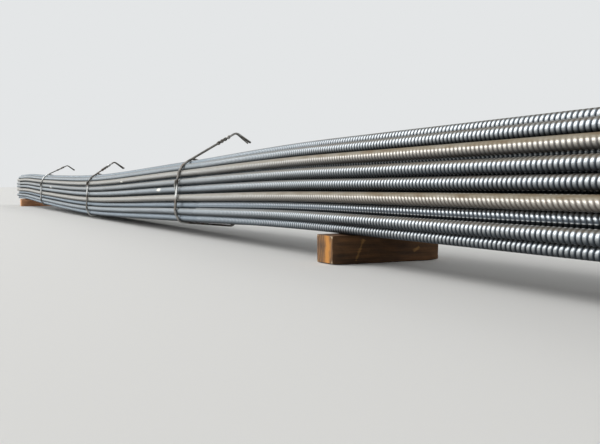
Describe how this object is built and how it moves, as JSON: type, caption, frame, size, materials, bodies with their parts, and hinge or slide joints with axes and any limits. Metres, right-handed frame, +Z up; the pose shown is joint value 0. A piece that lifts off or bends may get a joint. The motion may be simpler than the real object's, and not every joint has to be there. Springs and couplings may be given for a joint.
{
  "type": "rebar bundle",
  "caption": "Long bundle of ribbed steel reinforcing bars, held by twisted wire ties and lying on sawn timber bearers",
  "frame": {"origin": "middle of the overall box at floor level, under the bundle", "axes": "+X along the bars, -Y the side that the picture shows, +Z up"},
  "size_m": [12.048, 0.2626, 0.3332],
  "materials": {
    "bar_steel": "hot-rolled mill scale with dust",
    "tie_wire": "drawn black wire, lightly rusted",
    "timber": "rough sawn"
  },
  "bodies": {
    "root": {"outer_bars": "bar_steel", "inner_bars": "bar_steel", "tie_1": "tie_wire", "tie_2": "tie_wire", "tie_3": "tie_wire", "tie_4": "tie_wire", "tie_5": "tie_wire", "tie_6": "tie_wire", "bearer_left": "timber", "bearer_middle": "timber", "bearer_right": "timber", "bearer_far_right": "timber"}
  },
  "joints": []
}
